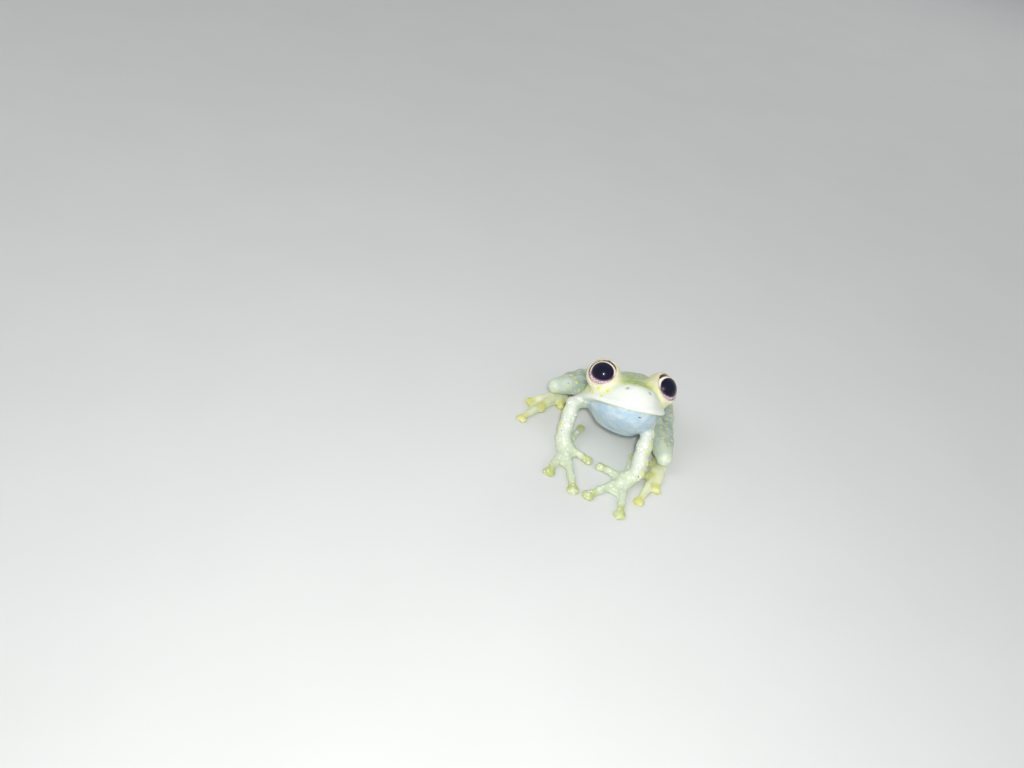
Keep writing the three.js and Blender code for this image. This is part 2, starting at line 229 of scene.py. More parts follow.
# How far the box round each form reaches past its middle or its points
HEAD_REACH = 6.6
LID_REACH = EYE_RADIUS + 0.9
TRUNK_REACH = 4.4
TRUNK_BOX_HEIGHT = 4.5
PALM_REACH = 1.1
PALM_BOX_HEIGHT = 0.55
SHAFT_REACH = 1.3
DISC_REACH = 1.1
WEB_REACH = 0.5

# The skin is worked out on a grid of this pitch. FAR is a distance where nothing is near.
PITCH = 0.12
GRID_LOW = (-12.7, -10.6, -0.4)
GRID_HIGH = (8.0, 15.6, 12.6)
FAR = 4.0
SLOPE_STEP = 0.02
LEAST_SLOPE = 0.08

# Round marks on the skin: least distance between two, their radii, and the seed that scatters them
DOT_SPACING = 0.78
DOT_RADIUS = (0.11, 0.19)
DOT_SEED = 5
SPECK_SPACING = 2.2
SPECK_RADIUS = (0.06, 0.11)
SPECK_SEED = 8
MARK_TRIES = 6000
NO_MARK = 9.0
# One dark dash on the throat: its place on the head, and half sizes
THROAT_MARK = (4.22, 0.44, -0.5)
THROAT_MARK_SIZE = (0.4, 0.2, 0.07)

# Regions of the skin share out its colours by how near they are
REGION_NEAR = 1.2
REGION_DEPTH = 0.4
REGION_SOFTNESS = 0.16

# Where colours change: each pair is where a change starts and where it is full.
# Those of the head run along its own axes, or up from the mouth.
CROWN_UP = (2.2, 3.0)
CROWN_SLOPE = 0.35
CROWN_FRONT = (3.5, 2.5)
CHEEK_OUT = (1.9, 3.0)
CHEEK_FRONT = (2.6, 1.0)
CHEEK_UP = (0.5, 1.2)
NAPE_BACK = (-1.6, -3.4)
NAPE_UP = (0.8, 2.2)
LIP_COLOUR_WIDTH = 0.34
EYE_CHEEK_UP = (0.9, 1.5)
EYE_CHEEK_OUT = 0.3
EYE_CHEEK_WIDTH = 0.7
LID_UP = (1.0, 1.4)
LID_WIDTH = 0.4
LID_EDGE_WIDTH = 0.12
# Painted shade: the nostril pit darkened, full inside this distance
NOSTRIL_SHADE_OUT = (0.3, 0.12)
THROAT_DOWN = (0.0, -0.16)
# Painted shade: a darker line along the mouth groove, where shade falls under the lip
MOUTH_SHADE_LEVEL = -0.04
MOUTH_SHADE_WIDTH = 0.09
MOUTH_SHADE_FRONT = (MOUTH_CORNER, -1.8)
# Those of the trunk run up from its middle height, or back along it
BELLY_DOWN = (0.6, -1.0)
BREAST_DOWN = (0.9, -0.3)
BREAST_FRONT = (2.5, 0.5)
BACK_DOTS_UP = (-0.3, 0.6)
# Those of the limbs run out from the middle of the arm, up from the floor or out from the knee
ARM_EDGE_OUT = (0.35, 0.9)
ARM_DOTS_OUT = (0.3, 0.6)
ARM_DOTS_UP = (0.9, 1.4)
ARM_SPECKS_OUT = (-0.2, 0.4)
KNEE_OUT = (2.7, 1.1)
LEG_DOTS_UP = (1.2, 2.2)
DISC_OUT = (1.9, 0.75)  # in disc sizes

# Strengths of some of these colours
CHEEK_STRENGTH = 0.75
EYE_CHEEK_STRENGTH = 0.65
LID_STRENGTH = 0.8
# Strength of the painted shade along the mouth groove
MOUTH_SHADE_STRENGTH = 0.75
ARM_EDGE_STRENGTH = 0.7

# Textures: scales are cells to a metre. A step is where it starts and where it is full, then the two
# values it goes between where they aren't 0 and 1.
CLOUD_SCALE = 900.0
CLOUD_STEP = (0.4, 0.7, 0.0, 0.34)
FLOCK_SCALE = 1300.0
FLOCK_STEP = (0.42, 0.62)
GRAIN_SCALE = 3000.0
GRAIN_STEP = (0.5, 0.3)
GRAIN_SHADE = 0.22
DOT_STEP = (1.25, 0.75)
SPECK_STEP = (1.3, 0.7)
FINE_SCALE = 2600.0
PEBBLE_SCALE = 4200.0
PEBBLE_HEIGHT = -0.5
DOT_HEIGHT = 0.5
BUMP = {"Strength": 0.4, "Distance": 0.00007}
ROUGHNESS_STEP = (0.3, 0.7, 0.3, 0.46)
CLEARNESS_STEP = (0.0, 1.0, 0.2, 0.6)
SMEAR_SCALE = 1800.0
SMEAR_STEP = (0.35, 0.65)
VEIN_SCALE = 2600.0
VEIN_STEP = (0.02, 0.14, 0.65, 0.0)
FLOOR_SCALE = 60.0

# Camera: the photograph's framing, with the point between the pupils on its pixel. Angles are in degrees.
PICTURE = (1024, 768)
LENS_MM = 30.0
SENSOR_MM = 36.0
EYES_PIXEL = (637.5, 379.0)
PIXELS_PER_MM = 9.1
CAMERA_RISE = 36.0
CAMERA_AZIMUTH = 6.0
CAMERA_ROLL = 20.0
CLIP = (0.001, 10.0)

# Lights, in metres and watts: name, place, size, power. The flash stands beside the camera.
LIGHTS = (
    ("key", (-0.16, -0.22, 0.30), 0.20, 0.33),
    ("fill", (0.26, -0.16, 0.22), 0.24, 0.14),
    ("rim", (0.05, 0.30, 0.24), 0.20, 0.15),
)
LIGHT_TARGET = (0, 0, 0.006)
FLASH_OFFSET = (0.004, -0.004, 0.012)
FLASH_SIZE = 0.008
FLASH_POWER = 0.06
WORLD_COLOUR = (0.93, 0.96, 1.0, 1)
WORLD_STRENGTH = 0.4
FLOOR_HALF = 3.0


# Colours, as they read in the photograph, turned from screen values to linear ones

def linear(r, g, b):
    def one(v):
        v /= 255
        return v / 12.92 if v <= 0.04045 else ((v + 0.055) / 1.055) ** 2.4
    return np.array([one(r), one(g), one(b)])


SNOUT = linear(240, 247, 234)
LIP_COLOUR = linear(248, 253, 240)
# Painted shade in the mouth groove
MOUTH_SHADE = linear(160, 186, 172)
CROWN = linear(162, 196, 80)
CHEEK = linear(232, 236, 150)
THROAT = linear(180, 207, 225)
# Painted shade inside the nostrils
NOSTRIL_SHADE = linear(66, 80, 66)
BACK = linear(160, 188, 104)
BELLY = linear(206, 222, 222)
ARM = linear(226, 232, 216)
ARM_EDGE = linear(206, 220, 158)
ARM_CLEAR = linear(186, 204, 172)
HAND = linear(214, 226, 190)
DISC = linear(192, 203, 108)
THIGH = linear(168, 186, 170)
KNEE = linear(208, 222, 204)
FOOT = linear(226, 230, 190)
TOE_DISC = linear(216, 216, 126)
LID = linear(232, 216, 204)
LID_EDGE = linear(150, 104, 128)
FLESH_LIGHT = linear(252, 253, 244)
FLESH_SHADE = linear(196, 202, 186)
DOT = linear(244, 236, 84)
SPECK = linear(70, 82, 60)

IRIS_PINK = linear(222, 196, 208)
IRIS_PALE = linear(248, 236, 234)
IRIS_VEIN = linear(118, 70, 108)
IRIS_INNER = linear(92, 50, 84)
IRIS_OUTER = linear(120, 78, 104)
IRIS_BAND = linear(74, 40, 60)
IRIS_LINE = linear(255, 248, 222)
PUPIL = linear(12, 12, 38)
EYE_BACK = linear(60, 40, 60)

FLOOR_DARK = linear(222, 223, 220)
FLOOR_LIGHT = linear(228, 229, 226)


# The head's own axes

def unit(v):
    v = np.asarray(v, float)
    return v / np.linalg.norm(v)


def turned(side, turn, tilt):
    """A direction in the head's own axes, by angles out to one side and up from straight ahead."""
    turn = math.radians(turn) * side
    tilt = math.radians(tilt)
    return np.array([math.cos(turn) * math.cos(tilt), math.sin(turn) * math.cos(tilt), math.sin(tilt)])


def head_axes():
    yaw, pitch, roll = (math.radians(a) for a in (HEAD_YAW, HEAD_PITCH, HEAD_ROLL))
    forward = np.array([math.sin(yaw) * math.cos(pitch), -math.cos(yaw) * math.cos(pitch), math.sin(pitch)])
    level_left = np.array([math.cos(yaw), math.sin(yaw), 0.0])
    level_up = np.cross(forward, level_left)
    left = level_left * math.cos(roll) + level_up * math.sin(roll)
    return np.stack([forward, left, np.cross(forward, left)], axis=1)


HEAD = head_axes()
HEAD_UP = HEAD[:, 2]
PUPIL_FROM_EYE = turned(1, EYE_TURN, EYE_TILT) * EYE_RADIUS
HEAD_ORIGIN = (
    np.array([0.0, 0.0, EYE_HEIGHT])
    - HEAD[:, 0] * PUPIL_FROM_EYE[0]
    - HEAD_UP * (EYE_LEVEL + PUPIL_FROM_EYE[2])
)


def head_point(forward, left, up):
    return HEAD_ORIGIN + HEAD @ np.array([forward, left, up], float)


def on_side(place, side):
    """A place given for the frog's left side, or its mirror image on the right."""
    forward, out, up = place
    return head_point(forward, out * side, up)


def to_head(p):
    return (p - HEAD_ORIGIN) @ HEAD


def eye_centre(side):
    return on_side((0, EYE_SPREAD, EYE_LEVEL), side)


def pose_shift():
    """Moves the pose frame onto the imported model, whose right eyeball is a known ball."""
    low, high = (np.array(corner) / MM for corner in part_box("eye_right"))
    shift = (low + high) / 2 - eye_centre(-1)
    shift[2] = 0.0
    return shift


SHIFT = pose_shift()


# Soft steps and blends

def fade(value, start, full):
    """0 before start, 1 past full, and a soft step between. Start may be above full."""
    t = np.clip((value - start) / (full - start), 0, 1)
    return t * t * (3 - 2 * t)


def hump(*ratios):
    """1 in the middle, sinking softly to 0. Each ratio is a distance over the hump's width."""
    return np.exp(-sum(ratio ** 2 for ratio in ratios))


def smooth_min(a, b, k):
    h = np.clip(0.5 + 0.5 * (a - b) / k, 0, 1)
    return a * (1 - h) + b * h - k * h * (1 - h)


def smooth_max(a, b, k):
    return -smooth_min(-a, -b, k)


# Distances from points to simple forms. Each takes an array of points, one in a row.

def distance(p, point):
    return np.linalg.norm(p - point, axis=1)


def cone(p, a, b, radius_a, radius_b, flatness=1.0):
    """A round limb between two points. A flatness below 1 presses it down towards the floor."""
    a = np.asarray(a, float)
    b = np.asarray(b, float)
    ab = b - a
    h = np.clip(((p - a) @ ab) / (ab @ ab), 0, 1)
    off = (p - a - h[:, None] * ab) * np.array([1.0, 1.0, 1.0 / flatness])
    return (np.linalg.norm(off, axis=1) - (radius_a + (radius_b - radius_a) * h)) * (1 + flatness) / 2


def chain(p, points, radii, joint, flatness=1.0):
    """A limb through several points, with a radius at each."""
    pieces = [cone(p, *ends, flatness) for ends in zip(points, points[1:], radii, radii[1:])]
    return functools.reduce(lambda a, b: smooth_min(a, b, joint), pieces)


def ellipsoid(p, middle, radii, turn=0.0):
    """An ellipsoid, turned about the vertical."""
    q = p - np.asarray(middle, float)
    c, s = math.cos(turn), math.sin(turn)
    q = np.stack([q[:, 0] * c + q[:, 1] * s, -q[:, 0] * s + q[:, 1] * c, q[:, 2]], axis=1)
    r = np.asarray(radii, float)
    level = np.linalg.norm(q / r, axis=1)
    slope = np.linalg.norm(q / (r * r), axis=1)
    return level * (level - 1) / np.maximum(slope, 1e-6)


def by_slope(level, p):
    """Turns a form given as level(p) = 1 into a distance, by the slope of the level."""
    here = level(p)
    slope = np.zeros(len(p))
    for axis in range(3):
        moved = p.copy()
        moved[:, axis] += SLOPE_STEP
        slope += ((level(moved) - here) / SLOPE_STEP) ** 2
    return (here - 1) / np.maximum(np.sqrt(slope), LEAST_SLOPE)


# Head and trunk

def head_level(p, wide, high, blunt=0.0, lean=0.0):
    """An egg on its side. Blunt makes it taller towards the snout, and lean towards its left."""
    q = to_head(p)
    along = q[:, 0] - HEAD_WIDEST
    t = np.clip(along / HEAD_AHEAD, 0, 1)
    tall = high * (1 + blunt * t ** 4) * (1 + lean * q[:, 1])
    ring = (q[:, 1] / wide) ** 2 + (q[:, 2] / tall) ** 2
    ends = np.where(along > 0, (along / HEAD_AHEAD) ** 2, (along / HEAD_BEHIND) ** 4)
    return np.sqrt(ring + ends)


def above_mouth(q):
    """Height above the line of the mouth, for points in the head's own axes."""
    return q[:, 2] + MOUTH_DROOP * np.maximum(0, MOUTH_STRAIGHT - q[:, 0]) ** MOUTH_BEND


def skull(p):
    q = to_head(p)
    folded = np.column_stack([q[:, 0], np.abs(q[:, 1]), q[:, 2]])
    above = above_mouth(q)
    d = by_slope(lambda x: head_level(x, **SKULL), p)
    d += HOLLOW_DEPTH * hump(*((folded - HOLLOW_PLACE) / HOLLOW_SIZE).T)
    d -= LIP["height"] * hump((above - LIP["level"]) / LIP["width"])
    return smooth_max(d, SKULL_BOTTOM - above, SKULL_EDGE)


def jaw(p):
    d = by_slope(lambda x: head_level(x, **JAW), p)
    return smooth_max(d, above_mouth(to_head(p)) - JAW_TOP, JAW_EDGE)


def lids(p, side):
    """Both lids of one eye, open in front and more so above."""
    opening = HEAD @ turned(side, EYE_TURN + LID_TURN, EYE_TILT + LID_TILT)
    shell = distance(p, eye_centre(side)) - (EYE_RADIUS + LID_THICKNESS)
    return smooth_max(shell, (p - eye_centre(side)) @ opening - LID_OPENING, LID_EDGE_ROUND)


def trunk_level(p):
    sections = np.array(TRUNK)
    starts = sections[:, 1]
    middle, low, high, wide = (np.interp(p[:, 1], starts, sections[:, n]) for n in (0, 2, 3, 4))
    front = np.maximum(0, starts[0] - p[:, 1]) / BREAST_CAP
    back = np.maximum(0, p[:, 1] - starts[-1]) / VENT_CAP
    ring = np.abs((p[:, 0] - middle) / wide) ** SECTION_POWER
    ring += np.abs((p[:, 2] - (low + high) / 2) / ((high - low) / 2)) ** SECTION_POWER
    return np.sqrt(ring ** (2 / SECTION_POWER) + front ** 2 + back ** 2)


def trunk(p):
    return by_slope(trunk_level, p)


# Lists of forms: each form is (distance, low corner, high corner, join), so that only the grid near it
# is worked on. The join is how softly it blends into the skin.

def box_round(points, reach):
    return np.min(points, axis=0) - reach, np.max(points, axis=0) + reach


def mix(a, b, share):
    """The point at a share of the way from a to b, flat where either is."""
    return tuple(x + (y - x) * share for x, y in zip(a, b))


def stretch(a, b, *shares):
    """Two points, with the points at these shares of the way between them."""
    return [a, *(mix(a, b, share) for share in shares), b]


def head_forms():
    low, high = box_round([head_point(0, 0, 0)], HEAD_REACH)
    forms = [(skull, low, high, SKULL_JOIN), (jaw, low, high, JAW_JOIN)]
    for side in (-1, 1):
        forms.append((lambda p, s=side: lids(p, s), *box_round([eye_centre(side)], LID_REACH), LID_JOIN))
    return forms


def trunk_forms():
    ends = [(x, y, TRUNK_BOX_HEIGHT) for x, y, *_ in (TRUNK[0], TRUNK[-1])]
    return [(trunk, *box_round(ends, TRUNK_REACH), TRUNK_JOIN)]


def limb_forms(points, radii, joint, join):
    return [(lambda p: chain(p, points, radii, joint), *box_round(points, max(radii)), join)]


def digit_forms(root, tip, width, disc, join):
    """A finger or toe: a shaft with faint joints, and a broad flat disc cut off square in front."""
    angle = math.atan2(tip[1] - root[1], tip[0] - root[0])
    along = np.array([math.cos(angle), math.sin(angle)])
    points = [(*mix(root, tip, share), height) for share, height, _ in SHAFT]
    radii = [width * swell for _, _, swell in SHAFT]
    middle = (*(tip + along * DISC_AHEAD), DISC_HEIGHT)

    def pad(p):
        body = ellipsoid(p, middle, (disc * DISC_LONG, disc * DISC_WIDE, DISC_RISE), angle)
        front = (p[:, :2] - middle[:2]) @ along - disc * DISC_FRONT
        return smooth_max(body, front, DISC_EDGE)

    def shaft(p):
        return chain(p, points, radii, SHAFT_JOINT, SHAFT_FLATNESS)

    return [
        (shaft, *box_round(points, width * SHAFT_REACH), join),
        (pad, *box_round([middle], disc * DISC_REACH), DISC_JOIN),
    ]


def web_forms(root, tip_a, tip_b, share, edge_radius):
    """A web as a fan of thin rays out to its hollow free edge."""
    a = np.array(mix(root, tip_a, share))
    b = np.array(mix(root, tip_b, share))
    hollow = np.array(mix(root, (a + b) / 2, WEB_HOLLOW))
    forms = []
    for n in range(WEB_RAYS):
        t = (n + 0.5) / WEB_RAYS
        edge = a * (1 - t) ** 2 + 2 * hollow * t * (1 - t) + b * t ** 2
        ends = [(*root, WEB_ROOT_HEIGHT), (*edge, WEB_EDGE_HEIGHT)]

        def ray(p, ends=ends):
            return cone(p, *ends, WEB_ROOT_RADIUS, edge_radius, WEB_FLATNESS)

        forms.append((ray, *box_round(ends, WEB_REACH), WEB_JOIN))
    return forms


def arm_forms(s):
    upper = stretch(s["shoulder"], s["elbow"], 0.5)
    lower = stretch(s["elbow"], s["wrist"], 0.3, 0.7)
    return limb_forms(upper, *UPPER_ARM_LIMB) + limb_forms(lower, *FOREARM_LIMB)


def hand_forms(s):
    palm, wrist, fingers = s["palm"], s["wrist"], s["fingers"]
    points = [wrist, (*mix(wrist, palm, 0.6), WRIST_HEIGHTS[0]), (*palm, WRIST_HEIGHTS[1])]
    forms = limb_forms(points, *WRIST_LIMB)
    palm_box = box_round([(*palm, PALM_BOX_HEIGHT)], PALM_REACH)
    forms.append((lambda p: ellipsoid(p, (*palm, PALM_HEIGHT), PALM_RADII), *palm_box, PALM_JOIN))
    for tip, width, disc in zip(fingers, FINGER_WIDTHS, FINGER_DISCS):
        forms += digit_forms(mix(palm, tip, FINGER_ROOT), tip, width, disc, FINGER_JOIN)
    for a, b, share in FINGER_WEBS:
        forms += web_forms(palm, fingers[a], fingers[b], share, FINGER_WEB_RADIUS)
    return forms


def leg_forms(s):
    thigh = stretch(s["hip"], s["knee"], 0.33, 0.67)
    shank = stretch(s["knee"], s["shin"], 0.6) + stretch(s["shin"], s["heel"], 0.5)[1:]
    return limb_forms(thigh, *THIGH_LIMB) + limb_forms(shank, *SHANK_LIMB)


def foot_forms(s):
    heel, sole, toes = s["heel"][:2], s["sole"], s["toes"]
    points = [(*place, height) for place, height in zip(stretch(heel, sole, 0.5), SOLE_HEIGHTS)]
    forms = limb_forms(points, *SOLE_LIMB)
    for tip, disc in zip(toes, TOE_DISCS):
        forms += digit_forms(mix(sole, tip, TOE_ROOT), tip, TOE_WIDTH, disc, TOE_JOIN)
    for a, b, share in TOE_WEBS:
        forms += web_forms(sole, toes[a], toes[b], share, TOE_WEB_RADIUS)
    return forms


# Cuts and raised lines that are worked into the finished skin

def carve(p, d):
    """Eye sockets, nostrils, folds under the eyes, rings of the eardrums and the line of the mouth."""
    for side in (-1, 1):
        out = distance(p, eye_centre(side)) - EYE_RADIUS
        d = smooth_max(d, SOCKET_GAP - out, SOCKET_EDGE)
        pit = distance(p, on_side(NOSTRIL_PLACE, side))
        d = d - NOSTRIL_RIM["height"] * hump(pit / NOSTRIL_RIM["width"])
        d = d + NOSTRIL_PIT["depth"] * hump(pit / NOSTRIL_PIT["width"])
        below = fade((eye_centre(side) - p) @ HEAD_UP, *LID_FOLD_BELOW)
        for place, depth in LID_FOLDS:
            d = d + depth * below * hump((out - place) / LID_FOLD_WIDTH)
        ring = distance(p, on_side(EARDRUM_PLACE, side)) - EARDRUM_RADIUS
        d = d + EARDRUM_GROOVE["depth"] * hump(ring / EARDRUM_GROOVE["width"])
    q = to_head(p)
    in_mouth = 1 / (1 + np.exp((MOUTH_CORNER - q[:, 0]) / MOUTH_SOFT_END))
    line = hump((above_mouth(q) - MOUTH_GROOVE["level"]) / MOUTH_GROOVE["width"])
    return d + MOUTH_GROOVE["depth"] * in_mouth * line


def rest_on_floor(p, d):
    return smooth_max(d, -p[:, 2], FLOOR_EDGE)


class Grid:
    """A block of distances that forms are blended into, one small box at a time."""

    def __init__(self):
        self.axes = [np.arange(a, b, PITCH) for a, b in zip(GRID_LOW, GRID_HIGH)]
        self.values = np.full([len(a) for a in self.axes], FAR)

    def part(self, low, high, margin):
        return tuple(
            slice(max(0, int(np.searchsorted(a, lo - margin))), int(np.searchsorted(a, hi + margin)))
            for a, lo, hi in zip(self.axes, low, high)
        )

    def points(self, part):
        block = np.meshgrid(*[a[s] for a, s in zip(self.axes, part)], indexing="ij")
        return np.stack([b.ravel() for b in block], axis=1)

    def blend(self, form, low, high, join):
        part = self.part(low, high, join + 2 * PITCH)
        here = self.values[part]
        self.values[part] = smooth_min(here, form(self.points(part)).reshape(here.shape), join)

    def change(self, function, low, high):
        part = self.part(low, high, 0)
        here = self.values[part]
        self.values[part] = function(self.points(part), here.ravel()).reshape(here.shape)


def crossings(values):
    """For each cell of the grid, the sum of the places where its edges cross zero, and their number."""
    cells = [n - 1 for n in values.shape]
    total = np.zeros((*cells, 3))
    count = np.zeros(cells)

    def at_corner(corner):
        return values[tuple(slice(c, c + n) for c, n in zip(corner, cells))]

    for axis in range(3):
        for u, v in ((0, 0), (0, 1), (1, 0), (1, 1)):
            start = [u, v]
            start.insert(axis, 0)
            end = [u, v]
            end.insert(axis, 1)
            first, second = at_corner(start), at_corner(end)
            crossed = (first < 0) != (second < 0)
            t = np.where(crossed, first / np.where(crossed, first - second, 1.0), 0.0)
            for a in range(3):
                total[..., a] += np.where(crossed, t if a == axis else start[a], 0.0)
            count += crossed
    return total, count


def surface(grid):
    """The zero surface as quads: one vertex in each cell that it crosses, one quad round each edge."""
    total, count = crossings(grid.values)
    used = count > 0
    number = np.full(used.shape, -1)
    number[used] = np.arange(used.sum())
    origin = np.array([a[0] for a in grid.axes])
    verts = (np.argwhere(used) + total[used] / count[used][:, None]) * PITCH + origin

    inside = grid.values < 0
    quads = []
    for axis in range(3):
        near = [slice(1, -1)] * 3
        near[axis] = slice(0, -1)
        far = list(near)
        far[axis] = slice(1, None)
        first, second = inside[tuple(near)], inside[tuple(far)]
        edges = np.argwhere(first != second)
        leaving = first[tuple(edges.T)]
        cell = edges + (np.arange(3) != axis)
        step_b, step_c = (np.eye(3, dtype=int)[(axis + n) % 3] for n in (1, 2))
        ring = [cell - step_b - step_c, cell - step_c, cell, cell - step_b]
        ids = np.stack([number[tuple(r.T)] for r in ring], axis=1)
        ids[~leaving] = ids[~leaving][:, ::-1]
        quads.append(ids)
    return verts, np.concatenate(quads)


def build_skin():
    grid = Grid()
    forms = head_forms() + trunk_forms()
    for s in SIDES.values():
        forms += arm_forms(s) + hand_forms(s) + leg_forms(s) + foot_forms(s)
    for form in forms:
        grid.blend(*form)
    grid.change(carve, *box_round([head_point(0, 0, 0)], HEAD_REACH))
    grid.change(rest_on_floor, GRID_LOW, GRID_HIGH)
    return surface(grid)


# Colours and marks of the skin. Each look is for the whole skin as if it were all of one region: its
# colour, how many dots and specks it has, how clear the flesh is and how much pale grain is in it.

def flat_colour(p, colour):
    return np.tile(colour, (len(p), 1))


def blend_to(colour, target, weight):
    return colour + (target - colour) * weight[:, None]


def head_look(p):
    """Pale snout and lip, green crown, cream cheeks and lids, bluish throat, with painted shade in the
    nostril pits and along the mouth groove.
    """
    q = to_head(p)
    above = above_mouth(q)
    crown = fade(q[:, 2] + CROWN_SLOPE * np.maximum(0, -q[:, 0]), *CROWN_UP) * fade(q[:, 0], *CROWN_FRONT)
    cheek = fade(np.abs(q[:, 1]), *CHEEK_OUT) * fade(q[:, 0], *CHEEK_FRONT) * fade(above, *CHEEK_UP)
    nape = fade(q[:, 0], *NAPE_BACK) * fade(above, *NAPE_UP)
    colour = blend_to(flat_colour(p, SNOUT), CROWN, crown)
    colour = blend_to(colour, CHEEK, CHEEK_STRENGTH * cheek)
    colour = blend_to(colour, BACK, nape)
    colour = blend_to(colour, LIP_COLOUR, hump((above - LIP["level"]) / LIP_COLOUR_WIDTH))
    for side in (-1, 1):
        out = distance(p, eye_centre(side)) - EYE_RADIUS
        round_eye = hump(np.maximum(out - EYE_CHEEK_OUT, 0) / EYE_CHEEK_WIDTH) * fade(above, *EYE_CHEEK_UP)
        colour = blend_to(colour, CHEEK, EYE_CHEEK_STRENGTH * round_eye)
        # Painted shade in each nostril pit
        pit = distance(p, on_side(NOSTRIL_PLACE, side))
        colour = blend_to(colour, NOSTRIL_SHADE, fade(pit, *NOSTRIL_SHADE_OUT))
        for lid_colour, width in ((LID, LID_WIDTH), (LID_EDGE, LID_EDGE_WIDTH)):
            on_lid = hump(np.maximum(out, 0) / width) * fade(above, *LID_UP)
            colour = blend_to(colour, lid_colour, LID_STRENGTH * on_lid)
    colour = blend_to(colour, THROAT, fade(above, *THROAT_DOWN))
    # Painted shade: the mouth groove darkened where shade falls under the lip
    line = hump((above - MOUTH_SHADE_LEVEL) / MOUTH_SHADE_WIDTH) * fade(q[:, 0], *MOUTH_SHADE_FRONT)
    return {
        "colour": blend_to(colour, MOUTH_SHADE, MOUTH_SHADE_STRENGTH * line),
        "dots": np.maximum(crown, 0.7 * cheek),
        "specks": 0.5 * np.maximum(0.5 * crown, cheek),
        "grain": 0.15,
    }


def trunk_look(p):
    """Green back, pale belly, and a breast as bluish as the throat."""
    sections = np.array(TRUNK)
    middle = np.interp(p[:, 1], sections[:, 1], (sections[:, 2] + sections[:, 3]) / 2)
    height = p[:, 2] - middle
    breast = fade(p[:, 1], *BREAST_FRONT) * fade(height, *BREAST_DOWN)
    colour = blend_to(flat_colour(p, BACK), BELLY, fade(height, *BELLY_DOWN))
    return {
        "colour": blend_to(colour, THROAT, breast),
        "dots": fade(height, *BACK_DOTS_UP),
        "specks": 0.4,
        "grain": 0.4,
    }


def arm_look(p, s):
    """Pale and full of grains, clearer at both edges, with a row of dots along the outer one."""
    wrist, elbow = s["wrist"], s["elbow"]
    middle = np.interp(p[:, 2], [wrist[2], elbow[2]], [wrist[0], elbow[0]])
    out = (p[:, 0] - middle) * s["sign"]
    both_edges = ARM_EDGE_STRENGTH * fade(np.abs(out), *ARM_EDGE_OUT)
    outer_edge = ARM_EDGE_STRENGTH * fade(out, *ARM_EDGE_OUT)
    return {
        "colour": blend_to(blend_to(flat_colour(p, ARM), ARM_CLEAR, both_edges), ARM_EDGE, outer_edge),
        "dots": fade(out, *ARM_DOTS_OUT) * fade(p[:, 2], *ARM_DOTS_UP),
        "specks": 0.6 * fade(out, *ARM_SPECKS_OUT),
        "grain": 1.0,
    }


def with_discs(p, colour, disc_colour, tips, sizes):
    for tip, size in zip(tips, sizes):
        far = distance(p[:, :2], tip) / size
        colour = blend_to(colour, disc_colour, fade(far, *DISC_OUT))
    return colour


def hand_look(p, s):
    colour = with_discs(p, flat_colour(p, HAND), DISC, s["fingers"], FINGER_DISCS)
    return {"colour": colour, "clear": 0.35, "grain": 0.8}


def leg_look(p, s):
    """Clear greyish green flesh, paler and fuller at the knee."""
    near_knee = fade(distance(p, s["knee"]), *KNEE_OUT)
    return {
        "colour": blend_to(flat_colour(p, THIGH), KNEE, near_knee),
        "dots": 0.8 * fade(p[:, 2], *LEG_DOTS_UP) * (1 - 0.7 * near_knee),
        "specks": 0.25,
        "clear": 0.8 * (1 - near_knee),
    }


def foot_look(p, s):
    colour = with_discs(p, flat_colour(p, FOOT), TOE_DISC, s["toes"], TOE_DISCS)
    return {"colour": colour, "clear": 0.3}


def nearest(p, forms):
    """Distance to the nearest of these forms, worked out only near each."""
    d = np.full(len(p), FAR)
    for form, low, high, _ in forms:
        near = np.all((p > low - REGION_NEAR) & (p < high + REGION_NEAR), axis=1)
        if near.any():
            d[near] = np.minimum(d[near], form(p[near]))
    return d


def region_shares(p):
    """How much each region counts at each vertex, so that looks blend where regions meet."""
    gaps = {"head": nearest(p, head_forms()), "trunk": trunk(p)}
    for name, s in SIDES.items():
        gaps[f"arm_{name}"] = nearest(p, arm_forms(s))
        gaps[f"hand_{name}"] = nearest(p, hand_forms(s))
        gaps[f"leg_{name}"] = nearest(p, leg_forms(s))
        gaps[f"foot_{name}"] = nearest(p, foot_forms(s))
    weights = np.stack([np.exp(-np.maximum(gap, -REGION_DEPTH) / REGION_SOFTNESS) for gap in gaps.values()])
    return dict(zip(gaps, weights / weights.sum(axis=0)))


def marks_at(p, weight, spacing, radii, seed):
    """Scatters round marks where weight is high. Gives the distance to the nearest, in its own radii."""
    rng = np.random.default_rng(seed)
    order = rng.permutation(len(p))
    order = order[rng.random(len(p)) < weight[order] ** 2]
    centres = np.empty((0, 3))
    for k in order[:MARK_TRIES]:
        if not len(centres) or np.min(distance(centres, p[k])) > spacing:
            centres = np.vstack([centres, p[k]])
    sizes = rng.uniform(*radii, len(centres))
    reach = np.full(len(p), NO_MARK)
    for centre, size in zip(centres, sizes):
        reach = np.minimum(reach, distance(p, centre) / size)
    return reach


